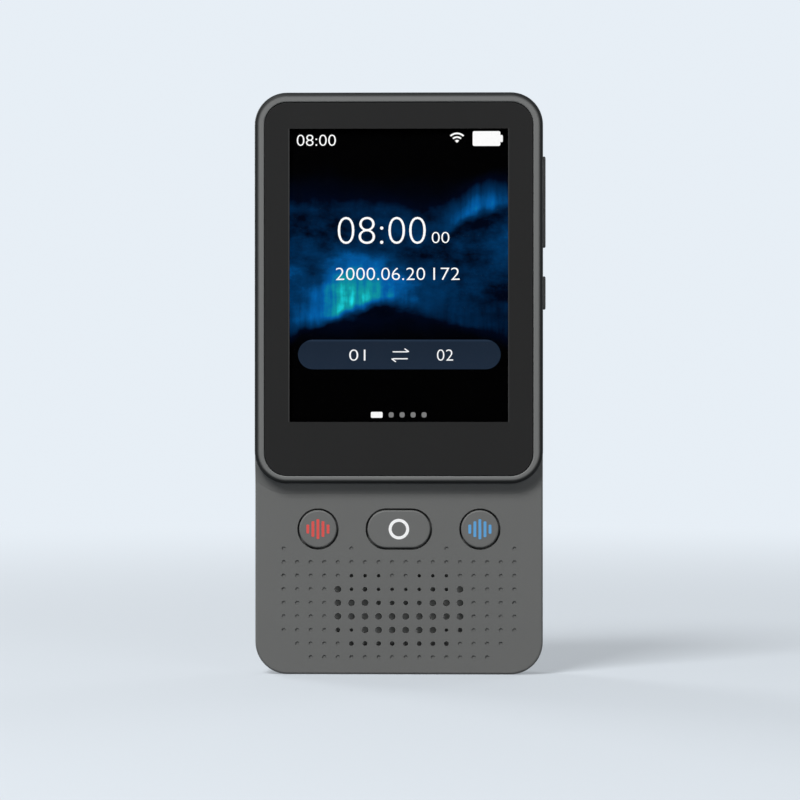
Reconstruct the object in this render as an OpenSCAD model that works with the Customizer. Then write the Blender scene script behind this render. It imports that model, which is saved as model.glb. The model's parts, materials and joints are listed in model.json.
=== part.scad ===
// Handheld translator: a slab body with a raised screen block, three front keys over a
// speaker grille, and a volume rocker and a power key on its right side.
// Every piece is drawn lying on its back, with X across, Y up the body and Z towards the
// front, and stand() then stands it on its bottom end with the screen facing -Y.

/* [Body] */
// Width across the side walls
body_w = 60.4; // [59:0.2:62]
// Height from the bottom end to the top end
body_h = 122; // [121:0.2:124]
// Depth from the rear face to the front of the bezel
body_t = 12.8; // [12.7:0.1:13.4]
// Radius of the four outline corners
corner_r = 6.8; // [6.6:0.1:7.4]
// Drop from the bezel to the key deck
step_t = 2.4; // [2.2:0.1:2.5]
// Thickness of the side walls
wall = 1.6; // [1.5:0.05:1.65]
// Depth of the rear cover up to the parting line
rear_t = 5.6; // [5.55:0.05:5.65]
// Radius round the edge of the rear face
rear_edge_r = 2.4; // [1.8:0.2:2.6]

/* [Screen] */
// Height above the bottom end at which the screen block starts
screen_foot = 40.1; // [39.8:0.1:40.6]
// Width of the bezel ring round the glass
ring_w = 2.05; // [1.6:0.05:2.1]
// Width of the bezel ring along its lower edge
ring_foot_w = 1.6; // [1.6:0.05:2.1]
// Height of the bezel ring
ring_t = 0.9; // [0.75:0.05:0.95]
// Width of the lit area, a 3 inch panel
active_w = 45.8; // [45:0.2:46]
// Height of the lit area
active_h = 61.4; // [60.6:0.2:61.6]
// Height of the middle of the lit area above the bottom end
active_y = 83.7; // [83.4:0.1:83.9]

/* [Front keys] */
// Diameter of a round key, and height of the home key
key_d = 7.9; // [7.6:0.1:8.1]
// Length of the home key
home_w = 13.2; // [12.8:0.1:13.6]
// Gap round each front key
key_gap = 0.4; // [0.25:0.05:0.4]
// Distance from the home key to each round key
key_pitch = 17; // [16.8:0.1:17.2]
// Height of the key row above the bottom end
key_y = 30.5; // [30.3:0.1:30.7]
// Height of the keys above the deck
key_proud = 0.25; // [0.1:0.05:0.4]

/* [Side keys] */
// Length of the volume rocker
volume_len = 19.2; // [18.6:0.2:19.4]
// Height of its middle above the bottom end
volume_y = 99.2; // [98.9:0.1:99.4]
// Length of the power key
power_len = 7; // [6.6:0.2:7.2]
// Height of its middle above the bottom end
power_y = 80.1; // [79.8:0.1:80.2]
// Width of the side keys
side_key_w = 2.4; // [2.2:0.1:2.4]
// Distance that the side keys stand out of the wall
side_key_out = 0.6; // [0.4:0.05:0.7]

/* [Speaker] */
// Distance between the grille holes
grille_pitch = 2.85; // [2.8:0.01:2.86]
// Height of the top row of the grille above the bottom end
grille_top = 26.4; // [26.2:0.1:26.5]
// Diameter of the largest grille holes
grille_d = 1.4; // [1.2:0.05:1.45]

/* [Hidden] */
$fn = 64;
eps = 0.01;
half_w = body_w / 2;
mid_y = body_h / 2;

// Heights through the body, from the rear face to the front
rear_skin = 1.4;
seam = 0.12;
tongue_t = 0.8;
tongue_inset = 0.85;
deck_z = body_t - step_t;
deck_skin = 1.4;
deck_in = deck_z - deck_skin;
deck_edge_r = 0.5;
ring_z = body_t - ring_t;
glass_t = 0.8;
glass_z = body_t - 0.2 - glass_t;
tape_t = 0.15;
ledge_z = glass_z - tape_t;
ledge_in = ledge_z - 1.05;
touch_t = 0.3;
touch_z = glass_z - touch_t;
image_gap = 0.1;
panel_t = 0.9;
panel_z = touch_z - image_gap - panel_t;
tray_t = 1;
tray_z = panel_z - tray_t;
tray_skin = 0.2;
frame_t = 0.6;
frame_z = tray_z - frame_t;

// The screen block and what lies behind the glass
block_h = body_h - screen_foot;
block_y = (body_h + screen_foot) / 2;
cove_reach = 2.9;
cove_rise = ring_z - deck_z - 0.3;
cove_r = (cove_reach * cove_reach + cove_rise * cove_rise) / (2 * cove_rise);
cove_dip = 0.05;
block_corner_y = screen_foot + corner_r;
glass_gap = 0.08;
glass_w = body_w - 2 * (ring_w + glass_gap);
glass_h = block_h - ring_w - ring_foot_w - 2 * glass_gap;
glass_r = corner_r - ring_w - glass_gap;
glass_y = block_y + (ring_foot_w - ring_w) / 2;
panel_w = active_w + 2.8;
panel_h = active_h + 7;
panel_y = active_y - 1.4;
window_w = panel_w + 1.8;
window_h = panel_h + 2;

// The front keys, from the cap down to the board
board_t = 0.8;
sub_z = rear_t - 0.9;
sub_face = sub_z + board_t;
key_top = deck_z + key_proud;
flange_t = 0.55;
flange_z = deck_in - 0.1 - flange_t;
flange_over = 1;
membrane_t = 0.3;
membrane_z = flange_z - 0.65 - membrane_t;
membrane_w = 2 * key_pitch + 13;
membrane_h = 12.6;
membrane_rim = 1.2;
switch_t = 1.2;
switch_w = 5.2;
actuator_r = 1.1;
actuator_z = sub_face + 0.65;
dome_z = sub_face + 0.2;
key_edge_r = 0.35;
key_x = [-key_pitch, 0, key_pitch];

// The side keys, from the pivot out to the wall
side_z = deck_z - 1.9;
wall_in = half_w - wall;
bracket_x = half_w - 5.25;
bracket_t = 0.4;
bracket_y = [power_y - 6.2, volume_y + 12.1];
side_flex_x = bracket_x + bracket_t;
side_flex_t = 0.15;
side_switch_x = side_flex_x + side_flex_t;
pivot_x = half_w - 3.45;
pivot_r = 0.4;
pivot_gap = 0.03;
side_nub_r = 0.55;
volume_nub_y = 7;
side_slot_gap = 0.2;
side_flange_over = 1.1;

// The grille: d is a blind dimple, s, m and l are holes right through, and each row lists
// the left half, which the right half mirrors
grille_map = [
    "d....d...",
    "ddddddddd",
    "dddddsssd",
    "ddddlsmss",
    "ddddlllmm",
    "ddddlllll",
    "ddddmslll",
    ".ddddmmmm",
    "..ddddddd"
];
grille_half = 9;
dimple_d = 0.85;
dimple_depth = 0.22;

// The speaker behind the grille
speaker_y = 13.5;
speaker_w = 29;
speaker_h = 17;
speaker_r = 3;
mesh_t = 0.15;
gasket_t = 0.5;
speaker_top = deck_in - mesh_t - gasket_t;
speaker_bottom = sub_face + 0.05;
basket_w = 26.4;
basket_h = 14.4;
basket_z = speaker_bottom + 0.7;
cone_t = 0.25;
cone_z = speaker_top - 0.4;

// The corner screws and the posts that take them
post_in = 5.2;
post_r = 2.2;
post_top = frame_z - 0.1;
screw_r = 0.8;
screw_head_r = 1.5;
screw_head_t = 0.9;
sink_r = 1.7;
sink_t = 1.2;
small_screw_r = 0.6;
small_head_r = 1.2;
small_head_t = 0.6;
pilot_gap = 0.02;
sub_post = [half_w - 4.6, 22.5];
frame_post_r = 1.2;
frame_posts = [
    [-14, screen_foot + 4.2],
    [14, screen_foot + 4.2],
    [-17, body_h - 3],
    [17, body_h - 3]
];

// The main board and what it carries
main_z = rear_t - 0.2;
main_face = main_z + board_t;
main_x = [3 - half_w, half_w - 8.2];
main_y = [83.6, body_h - 2.4];
main_posts = [[5.6 - half_w, 88], [half_w - 11.5, 87]];
chip_y = 101;
can_t = 1.8;
can_skin = 0.2;

// The microphones
mic_w = 3.5;
mic_h = 2.65;
mic_t = 1;
mic_hole_r = 0.5;
bottom_mic_x = 19.8;
top_mic_x = 11.2;
boot_t = 1.1;
bottom_mic_z = sub_face + mic_t + boot_t / 2;
top_mic_z = main_face + mic_t + boot_t / 2;

// The charging socket
usb_w = 8.94;
usb_t = 3.2;
usb_skin = 0.3;
usb_len = 7.3;
usb_z = sub_z - usb_t / 2;
usb_recess = 0.1;
usb_slot_gap = 0.15;

// The camera and its flash
camera = [15.8, body_h - 13.8];
flash = [6.6, body_h - 13.8];
plate_w = 17;
plate_h = 8.4;
plate_t = 0.8;
camera_ring_r = 3.4;
camera_window_r = 2.75;
flash_r = 1.6;
flash_pipe_r = 1.3;

// The battery
battery_w = 47;
battery_h = 37;
battery_y = 61.9;
battery_z = 3.2;
battery_t = frame_z - 0.6 - battery_z;

// Flat cables
flex_t = 0.15;
display_flex_x = [-13, -7];
link_flex_x = [-21, -15];

// ---------------------------------------------------------------- shared shapes

// Stands a piece that is drawn on its back upright, with its front facing -Y
module stand() {
    translate([0, body_t / 2, 0]) rotate([90, 0, 0]) children();
}

// A rounded rectangle about the origin
module plan(w, h, r) {
    if (w > 2 * r) square([w - 2 * r, h], center = true);
    if (h > 2 * r) square([w, h - 2 * r], center = true);
    for (sx = [-1, 1])
        for (sy = [-1, 1])
            translate([sx * (w / 2 - r), sy * (h / 2 - r)]) circle(r);
}

// A plate with a rounded-rectangle outline, from z0 to z1
module plate(w, h, r, z0, z1) {
    translate([0, 0, z0]) linear_extrude(z1 - z0) plan(w, h, r);
}

// A block given by its two corners
module block(low, high) {
    translate(low) cube(high - low);
}

// Carries a section, drawn with x as the distance from the corner centre, round a
// rounded rectangle
module around(w, h, r) {
    for (q = [0 : 3]) {
        sx = (q == 0 || q == 3) ? 1 : -1;
        sy = q < 2 ? 1 : -1;
        translate([sx * (w / 2 - r), sy * (h / 2 - r), 0])
            rotate(90 * q) rotate_extrude(angle = 90) children();
    }
    if (h > 2 * r)
        for (s = [-1, 1])
            translate([s * (w / 2 - r), 0, 0]) rotate([90, 0, s > 0 ? 0 : 180])
                translate([0, 0, r - h / 2]) linear_extrude(h - 2 * r) children();
    if (w > 2 * r)
        for (s = [-1, 1])
            translate([0, s * (h / 2 - r), 0]) rotate([90, 0, s > 0 ? 90 : -90])
                translate([0, 0, r - w / 2]) linear_extrude(w - 2 * r) children();
}

// The section of a plate's edge, rounded at the front and at the back
module edge_section(reach, z0, z1, front = 0, back = 0) {
    translate([0, z0 + back]) square([reach, z1 - front - z0 - back]);
    if (front > 0) {
        translate([0, z1 - front]) square([reach - front, front]);
        translate([reach - front, z1 - front]) intersection() {
            circle(front);
            square(front);
        }
    }
    if (back > 0) {
        translate([0, z0]) square([reach - back, back]);
        translate([reach - back, z0 + back]) intersection() {
            circle(back);
            translate([0, -back]) square(back);
        }
    }
}

// A plate with a rounded outline and rounded edges
module soft_plate(w, h, r, z0, z1, front = 0, back = 0) {
    if (w > 2 * r && h > 2 * r)
        block([r - w / 2, r - h / 2, z0], [w / 2 - r, h / 2 - r, z1]);
    around(w, h, r) edge_section(r, z0, z1, front, back);
}

// The unit normal of a line's stretch from point i
function normal(points, i) = let (run = points[i + 1] - points[i]) [-run[1], run[0]] / norm(run);

// How far a corner of the line moves for each unit of thickness
function mitre(points, i) =
    let (
        before = normal(points, max(i - 1, 0)),
        after = normal(points, min(i, len(points) - 2))
    )
    (before + after) / (1 + before * after);

// A flat cable along a line of points in the YZ plane, between two X positions
module ribbon(points, x, t = flex_t) {
    last = len(points) - 1;
    translate([x[0], 0, 0]) rotate([90, 0, 90]) linear_extrude(x[1] - x[0]) polygon([
        for (i = [0 : last]) points[i] + mitre(points, i) * t / 2,
        for (i = [last : -1 : 0]) points[i] - mitre(points, i) * t / 2
    ]);
}

// Repeats a piece at the four corner screws
module at_corner_screws() {
    for (sx = [-1, 1])
        for (y = [post_in, body_h - post_in])
            translate([sx * (half_w - post_in), y, 0]) children();
}

// Repeats a piece at the two screws of the lower board
module at_sub_posts() {
    for (sx = [-1, 1]) translate([sx * sub_post[0], sub_post[1], 0]) children();
}

// Turns a piece drawn upwards so that it points out of the right side wall
module out_of_side(y) {
    translate([0, y, side_z]) rotate([0, 90, 0]) children();
}

// ---------------------------------------------------------------- casing

function grille_dia(mark) =
    mark == "l" ? grille_d : mark == "m" ? grille_d - 0.4 : mark == "s" ? grille_d - 0.65 : dimple_d;

module grille_holes() {
    for (row = [0 : len(grille_map) - 1])
        for (col = [0 : grille_half - 1]) {
            mark = grille_map[row][col];
            depth = mark == "d" ? dimple_depth : deck_skin + 1;
            if (mark != ".")
                for (s = [-1, 1])
                    translate([s * (grille_half - col - 0.5) * grille_pitch,
                               grille_top - row * grille_pitch, deck_z - depth])
                        cylinder(h = depth + 1, d = grille_dia(mark));
        }
}

module key_holes() {
    for (sx = [-1, 1])
        translate([sx * key_pitch, key_y, deck_in - 1])
            cylinder(h = deck_skin + 2, d = key_d + 2 * key_gap);
    translate([0, key_y, 0])
        plate(home_w + 2 * key_gap, key_d + 2 * key_gap, key_d / 2 + key_gap,
              deck_in - 1, deck_z + 1);
}

// The section of the screen block's foot, which sweeps down to the deck in a hollow curve
module cove_section() {
    difference() {
        translate([corner_r - 1, deck_in]) square([cove_reach + 1, ring_z - deck_in]);
        translate([corner_r + cove_reach, deck_z - cove_dip + cove_r]) circle(cove_r, $fn = 128);
        translate([corner_r - 0.05, ring_z - 0.3]) square([cove_reach + 1, 1]);
    }
}

// The foot runs along the lower edge of the screen block and round its two corners
module cove() {
    for (m = [0, 1])
        mirror([m, 0, 0]) intersection() {
            translate([half_w - corner_r, block_corner_y, 0])
                rotate(-90) rotate_extrude(angle = 90) cove_section();
            cube([half_w - 0.03, body_h, body_t]);
        }
    translate([0, block_corner_y, 0]) rotate([90, 0, -90])
        translate([0, 0, corner_r - half_w]) linear_extrude(body_w - 2 * corner_r) cove_section();
}

// The deck, which has a rounded edge up to where the screen block takes over
module deck() {
    z0 = rear_t + seam;
    corner_x = half_w - corner_r;
    block([-corner_x, corner_r, z0], [corner_x, block_corner_y, deck_z]);
    for (s = [-1, 1]) {
        translate([s * corner_x, corner_r, 0])
            rotate(s > 0 ? -90 : 180) rotate_extrude(angle = 90)
                edge_section(corner_r, z0, deck_z, deck_edge_r);
        translate([s * corner_x, block_corner_y, 0]) rotate([90, 0, s > 0 ? 0 : 180])
            mirror([0, 0, s > 0 ? 0 : 1]) linear_extrude(block_corner_y - corner_r)
                edge_section(corner_r, z0, deck_z, deck_edge_r);
    }
    translate([0, corner_r, 0]) rotate([90, 0, -90])
        translate([0, 0, -corner_x]) linear_extrude(2 * corner_x)
            edge_section(corner_r, z0, deck_z, deck_edge_r);
}

module housing_outside() {
    deck();
    block([-half_w, block_corner_y, rear_t + seam], [half_w, body_h - corner_r, ring_z]);
    block([corner_r - half_w, block_corner_y, rear_t + seam], [half_w - corner_r, body_h, ring_z]);
    for (s = [-1, 1])
        translate([s * (half_w - corner_r), body_h - corner_r, rear_t + seam])
            cylinder(h = ring_z - rear_t - seam, r = corner_r);
    translate([0, block_y, 0])
        plate(body_w - 1.6, block_h - 1.6, corner_r - 0.8, deck_in, ring_z);
    cove();
}

module housing_cavity() {
    translate([0, mid_y, 0])
        plate(body_w - 2 * wall, body_h - 2 * wall, corner_r - wall, rear_t, deck_in);
    translate([0, block_y, 0])
        plate(body_w - 2 * wall, block_h - 2 * wall, corner_r - wall, deck_in - 1, ledge_in);
    translate([0, panel_y, 0]) plate(window_w, window_h, 0.8, ledge_in - eps, ring_z + 1);
    translate([0, glass_y, 0])
        plate(glass_w + 0.3, glass_h + 0.3, glass_r + 0.15, ledge_z, ring_z + 1);
    translate([0, mid_y, 0])
        plate(body_w - 2 * (tongue_inset - 0.1), body_h - 2 * (tongue_inset - 0.1),
              corner_r - tongue_inset + 0.1, rear_t, rear_t + tongue_t + 0.1);
}

module housing_posts() {
    for (sx = [-1, 1]) {
        translate([sx * (half_w - post_in), post_in, rear_t + seam])
            cylinder(h = deck_in - rear_t, r = post_r);
        translate([sx * (half_w - post_in), body_h - post_in, 0]) {
            translate([0, 0, rear_t + seam]) cylinder(h = post_top - rear_t - seam, r = post_r);
            rotate(sx > 0 ? 45 : 135) block([0, -1, rear_t + 1.2], [4, 1, post_top]);
        }
    }
    at_sub_posts() translate([0, 0, sub_face]) cylinder(h = deck_in - sub_face + eps, r = 1.7);
    for (p = frame_posts)
        translate([p[0], p[1], frame_z + frame_t])
            cylinder(h = ledge_in - frame_z - frame_t + eps, r = frame_post_r);
}

module housing_pilots() {
    at_corner_screws() translate([0, 0, rear_t]) cylinder(h = 2.8, r = screw_r + pilot_gap);
    at_sub_posts() translate([0, 0, sub_face - eps])
        cylinder(h = 3, r = small_screw_r + pilot_gap);
    for (p = frame_posts)
        translate([p[0], p[1], frame_z + frame_t - eps])
            cylinder(h = 1.5, r = small_screw_r + pilot_gap);
}

module side_slot(y, length) {
    out_of_side(y)
        plate(side_key_w + 2 * side_slot_gap, length + 2 * side_slot_gap,
              side_key_w / 2 + side_slot_gap, wall_in - 1, half_w + 1);
}

module mic_hole(x, y, z) {
    translate([x, y, z]) rotate([90, 0, 0]) cylinder(h = 2 * wall, r = mic_hole_r, center = true);
}

module front_housing() {
    color("dimgray") stand() difference() {
        union() {
            difference() {
                housing_outside();
                housing_cavity();
            }
            housing_posts();
        }
        housing_pilots();
        key_holes();
        grille_holes();
        side_slot(volume_y, volume_len);
        side_slot(power_y, power_len);
        mic_hole(bottom_mic_x, wall / 2, bottom_mic_z);
        mic_hole(top_mic_x, body_h - wall / 2, top_mic_z);
    }
}

module rear_outside() {
    translate([0, mid_y, 0]) {
        difference() {
            soft_plate(body_w, body_h, corner_r, 0, rear_t, 0, rear_edge_r);
            plate(body_w - 2 * wall, body_h - 2 * wall, corner_r - wall, rear_skin, rear_t + 1);
        }
        difference() {
            plate(body_w - 2 * tongue_inset, body_h - 2 * tongue_inset,
                  corner_r - tongue_inset, rear_t - 0.6, rear_t + tongue_t);
            plate(body_w - 2 * wall, body_h - 2 * wall, corner_r - wall,
                  rear_t - 1, rear_t + tongue_t + 1);
        }
    }
    at_corner_screws() translate([0, 0, rear_skin - eps])
        cylinder(h = rear_t - rear_skin, r = post_r + 0.2);
}

module camera_cutout() {
    translate([(camera[0] + flash[0]) / 2, camera[1], 0])
        plate(plate_w + 0.1, plate_h + 0.1, plate_h / 2 + 0.05, -1, plate_t);
    translate([camera[0], camera[1], 0]) cylinder(h = 2, r = camera_ring_r - 0.1);
    translate([flash[0], flash[1], 0]) cylinder(h = 2, r = flash_pipe_r + 0.1);
}

module rear_cover() {
    color("dimgray") stand() difference() {
        rear_outside();
        at_corner_screws() {
            translate([0, 0, -1]) cylinder(h = rear_t + 2, r = screw_r + 0.15);
            translate([0, 0, -1]) cylinder(h = sink_t + 1, r = sink_r);
        }
        camera_cutout();
        translate([0, 0, usb_z]) rotate([-90, 0, 0])
            plate(usb_w + 2 * usb_slot_gap, usb_t + 2 * usb_slot_gap,
                  usb_t / 2 + usb_slot_gap, -1, wall + 1);
    }
}

module rear_screws() {
    color("black") stand() at_corner_screws() {
        difference() {
            translate([0, 0, sink_t - screw_head_t]) cylinder(h = screw_head_t, r = screw_head_r);
            for (turn = [0, 90])
                rotate(turn) block([-0.9, -0.18, 0], [0.9, 0.18, sink_t - screw_head_t + 0.5]);
        }
        translate([0, 0, sink_t]) cylinder(h = rear_t + 2.4 - sink_t, r = screw_r);
    }
}

// ---------------------------------------------------------------- screen

// A soft-edged plate with the opening for the glass, which is rounded at the front
module screen_bezel() {
    inner_edge_r = 0.3;
    open_w = glass_w + 2 * glass_gap;
    open_h = glass_h + 2 * glass_gap;
    open_r = glass_r + glass_gap;
    color("gray") stand() difference() {
        translate([0, block_y, 0])
            soft_plate(body_w, block_h, corner_r, ring_z, body_t, ring_t - 0.15, 0.1);
        translate([0, glass_y, 0]) {
            plate(open_w, open_h, open_r, ring_z - 1, body_t + 1);
            around(open_w, open_h, open_r)
                translate([open_r - 1, body_t - inner_edge_r]) difference() {
                    square([1 + inner_edge_r, 1]);
                    translate([1 + inner_edge_r, 0]) circle(inner_edge_r);
                }
        }
    }
}

module cover_glass() {
    color("black") stand() translate([0, glass_y, 0])
        soft_plate(glass_w, glass_h, glass_r, glass_z, glass_z + glass_t, 0.15);
}

module glass_adhesive() {
    color("gold") stand() difference() {
        translate([0, glass_y, 0]) plate(glass_w, glass_h, glass_r, ledge_z, glass_z);
        translate([0, panel_y, 0]) plate(window_w, window_h, 0.8, ledge_z - 1, glass_z + 1);
    }
}

module touch_sensor() {
    color("slategray") stand() translate([0, panel_y, 0])
        plate(panel_w + 1.2, panel_h + 1.2, 0.6, touch_z, touch_z + touch_t);
}

module display_panel() {
    color("midnightblue") stand() translate([0, panel_y, 0])
        plate(panel_w, panel_h, 0.5, panel_z, panel_z + panel_t);
}

module light_guide() {
    color("white") stand() translate([0, panel_y, 0])
        plate(panel_w - 0.6, panel_h - 0.6, 0.3, tray_z + tray_skin, tray_z + tray_t);
}

module backlight_tray() {
    color("silver") stand() translate([0, panel_y, 0]) difference() {
        plate(panel_w + 0.4, panel_h + 0.4, 0.5, tray_z, tray_z + tray_t);
        plate(panel_w - 0.4, panel_h - 0.4, 0.3, tray_z + tray_skin, tray_z + tray_t + 1);
    }
}

// Leaves the panel's lower edge, turns under the tray, and runs up to the main board
module display_flex() {
    edge_y = panel_y - panel_h / 2;
    turn_y = edge_y - 0.55;
    plug_y = main_y[0] + 1;
    plug_z = main_face + 1.1;
    color("orange") stand() {
        ribbon([
            [edge_y - 0.1, panel_z + 0.5],
            [turn_y, panel_z + 0.5],
            [turn_y, frame_z - 0.25],
            [plug_y - 1.6, frame_z - 0.25],
            [plug_y, plug_z],
            [plug_y + 2.8, plug_z]
        ], display_flex_x);
        block([display_flex_x[0] - 0.5, plug_y, main_face],
              [display_flex_x[1] + 0.5, plug_y + 2.8, plug_z]);
    }
}

module mid_frame() {
    low_y = screen_foot + wall + 0.4;
    high_y = body_h - wall - 0.5;
    slot_y = panel_y - panel_h / 2 - 0.55;
    color("lightgray") stand() difference() {
        union() {
            translate([0, (low_y + high_y) / 2, 0])
                plate(body_w - 2 * wall - 1, high_y - low_y, corner_r - wall - 0.5,
                      frame_z, frame_z + frame_t);
            for (p = main_posts)
                translate([p[0], p[1], main_face])
                    cylinder(h = frame_z - main_face + eps, r = 1.4);
        }
        block([bracket_x - 0.2, bracket_y[0] - 0.7, frame_z - 1],
              [half_w, bracket_y[1] + 0.7, frame_z + 2]);
        block([display_flex_x[0] - 0.5, slot_y - 0.5, frame_z - 1],
              [display_flex_x[1] + 0.5, slot_y + 0.5, frame_z + 2]);
        for (p = frame_posts)
            translate([p[0], p[1], frame_z - 1]) cylinder(h = 3, r = small_screw_r + 0.1);
        for (p = main_posts)
            translate([p[0], p[1], main_face - 1])
                cylinder(h = frame_z - main_face + 0.9, r = small_screw_r + pilot_gap);
    }
}

module frame_screws() {
    color("silver") stand() for (p = frame_posts) translate([p[0], p[1], 0]) {
        translate([0, 0, frame_z - small_head_t]) cylinder(h = small_head_t, r = small_head_r - 0.1);
        translate([0, 0, frame_z - eps]) cylinder(h = 1.8, r = small_screw_r);
    }
}

// ---------------------------------------------------------------- front keys

module round_key(x) {
    translate([x, key_y, 0]) {
        rotate_extrude() edge_section(key_d / 2, flange_z + eps, key_top, key_edge_r);
        translate([0, 0, flange_z]) cylinder(h = flange_t, r = key_d / 2 + flange_over);
        translate([0, 0, membrane_z + membrane_t])
            cylinder(h = flange_z - membrane_z - membrane_t + eps, r = 1.5);
    }
}

module left_key() {
    color("dimgray") stand() round_key(-key_pitch);
}

module right_key() {
    color("dimgray") stand() round_key(key_pitch);
}

module home_key() {
    color("dimgray") stand() translate([0, key_y, 0]) {
        soft_plate(home_w, key_d, key_d / 2, flange_z + eps, key_top, key_edge_r);
        plate(home_w + 2 * flange_over, key_d + 2 * flange_over, key_d / 2 + flange_over,
              flange_z, flange_z + flange_t);
        translate([0, 0, membrane_z + membrane_t])
            cylinder(h = flange_z - membrane_z - membrane_t + eps, r = 1.5);
    }
}

// The stud of a tact switch, with the collar that keeps it under the switch's cover
module actuator(x) {
    color("white") stand() translate([x, key_y, actuator_z]) {
        cylinder(h = membrane_z - actuator_z, r = actuator_r);
        cylinder(h = 0.3, r = actuator_r + 0.4);
    }
}

module key_switches() {
    color("black") stand() for (x = key_x) translate([x, key_y, 0]) difference() {
        plate(switch_w, switch_w, 0.4, sub_face, sub_face + switch_t);
        translate([0, 0, dome_z]) cylinder(h = 0.8, r = 2);
        translate([0, 0, dome_z]) cylinder(h = 2, r = actuator_r + 0.1);
    }
}

// A snap dome of sheet metal, with its rim on the floor of its switch
module snap_dome(r, rise) {
    skin = 0.08;
    rotate_extrude() polygon([
        [r, 0], [r, skin], [r * 0.35, rise], [0, rise],
        [0, rise - skin], [r * 0.33, rise - skin], [r - skin, 0]
    ]);
}

module key_domes() {
    color("silver") stand() for (x = key_x)
        translate([x, key_y, dome_z]) snap_dome(1.9, 0.4);
}

// The silicone seal: a sheet under the three keys, with a rim that meets the deck
module key_membrane() {
    color("darkgray") stand() translate([0, key_y, 0]) difference() {
        plate(membrane_w, membrane_h, 2.2, membrane_z, deck_in);
        plate(membrane_w - 2 * membrane_rim, membrane_h - 2 * membrane_rim, 1,
              membrane_z + membrane_t, deck_in + 1);
    }
}

// ---------------------------------------------------------------- side keys

module side_cap(length, z0) {
    soft_plate(side_key_w, length, side_key_w / 2, z0, half_w + side_key_out, 0.25);
}

module side_flange(length, x0, x1) {
    plate(side_key_w + 1.4, length + 2 * side_flange_over, side_key_w / 2 + 0.7, x0, x1);
}

// A rocker: its lug turns on the pivot pin, and a nub near each end meets a dome
module volume_key() {
    flange_x = wall_in - 1.05;
    color("dimgray") stand() difference() {
        union() {
            out_of_side(volume_y) {
                side_cap(volume_len, flange_x + 0.3);
                side_flange(volume_len, flange_x, flange_x + 0.65);
                for (s = [-1, 1])
                    translate([0, s * volume_nub_y, side_switch_x + 0.42])
                        cylinder(h = flange_x - side_switch_x - 0.42 + eps, r = side_nub_r);
            }
            block([pivot_x - 0.8, volume_y - 1.1, side_z - 0.7],
                  [flange_x + eps, volume_y + 1.1, side_z + 0.7]);
        }
        translate([pivot_x, volume_y, side_z - 2]) cylinder(h = 4, r = pivot_r + pivot_gap);
    }
}

module volume_pivot_pin() {
    color("silver") stand() translate([pivot_x, volume_y, side_z - 1.5])
        cylinder(h = 3, r = pivot_r);
}

module power_key() {
    flange_x = wall_in - 0.8;
    color("dimgray") stand() out_of_side(power_y) {
        side_cap(power_len, flange_x + 0.3);
        side_flange(power_len, flange_x, flange_x + 0.7);
        translate([0, 0, side_switch_x + 0.55])
            cylinder(h = flange_x - side_switch_x - 0.55 + eps, r = side_nub_r);
    }
}

// A carrier along the right wall: it holds the side switches and the rocker's pivot
module side_key_bracket() {
    reach = wall_in - 0.05;
    color("darkslategray") stand() difference() {
        union() {
            block([bracket_x, bracket_y[0], side_z - 1.7],
                  [bracket_x + bracket_t, bracket_y[1], side_z + 1.7]);
            for (y = bracket_y)
                block([bracket_x, y - 0.3, side_z - 1.5], [reach, y + 0.3, side_z + 1.5]);
            for (s = [-1, 1])
                block([bracket_x, volume_y - 1, side_z + s * 1.15 - 0.35],
                      [pivot_x + 0.6, volume_y + 1, side_z + s * 1.15 + 0.35]);
        }
        translate([pivot_x, volume_y, side_z - 1.5]) cylinder(h = 3, r = pivot_r);
    }
}

side_switch_y = [power_y, volume_y - volume_nub_y, volume_y + volume_nub_y];

// The strip that the side switches sit on, with a tail down to the main board
module side_key_flex() {
    tail_y = [86, 90];
    tail_z = main_face + 0.1;
    x1 = side_flex_x + side_flex_t;
    color("orange") stand() {
        block([side_flex_x, bracket_y[0] + 1, side_z - 0.7], [x1, bracket_y[1] - 1, side_z + 0.7]);
        block([side_flex_x, tail_y[0], tail_z - 0.08], [x1, tail_y[1], side_z]);
        block([main_x[1] - 1, tail_y[0], tail_z - 0.08], [x1, tail_y[1], tail_z + 0.08]);
    }
}

module side_switches() {
    color("black") stand() for (y = side_switch_y) out_of_side(y) difference() {
        plate(2.3, 3.2, 0.2, side_switch_x, side_switch_x + 0.65);
        translate([0, 0, side_switch_x + 0.1]) cylinder(h = 1, r = 0.95);
    }
}

module side_domes() {
    color("silver") stand() for (y = side_switch_y)
        out_of_side(y) translate([0, 0, side_switch_x + 0.1]) snap_dome(0.9, 0.28);
}

// ---------------------------------------------------------------- speaker

module grille_mesh() {
    color("black") stand() translate([0, speaker_y, 0])
        plate(speaker_w + 1, speaker_h + 1, speaker_r + 0.2, deck_in - mesh_t, deck_in);
}

module speaker_gasket() {
    color("black") stand() translate([0, speaker_y, 0]) difference() {
        plate(speaker_w, speaker_h, speaker_r, speaker_top, speaker_top + gasket_t);
        plate(basket_w + 0.2, basket_h + 0.2, 2, speaker_top - 1, speaker_top + 1);
    }
}

module speaker_frame() {
    color("black") stand() translate([0, speaker_y, 0]) difference() {
        plate(speaker_w, speaker_h, speaker_r, speaker_bottom, speaker_top);
        plate(basket_w, basket_h, 2, basket_z, speaker_top + 1);
    }
}

module speaker_magnet() {
    color("silver") stand() translate([0, speaker_y, 0])
        plate(18, 8, 1.5, basket_z, basket_z + 1.1);
}

module speaker_coil() {
    color("peru") stand() translate([0, speaker_y, 0]) difference() {
        plate(20, 10, 2.5, basket_z + 0.5, cone_z);
        plate(19.2, 9.2, 2.1, basket_z, cone_z + 1);
    }
}

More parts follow.
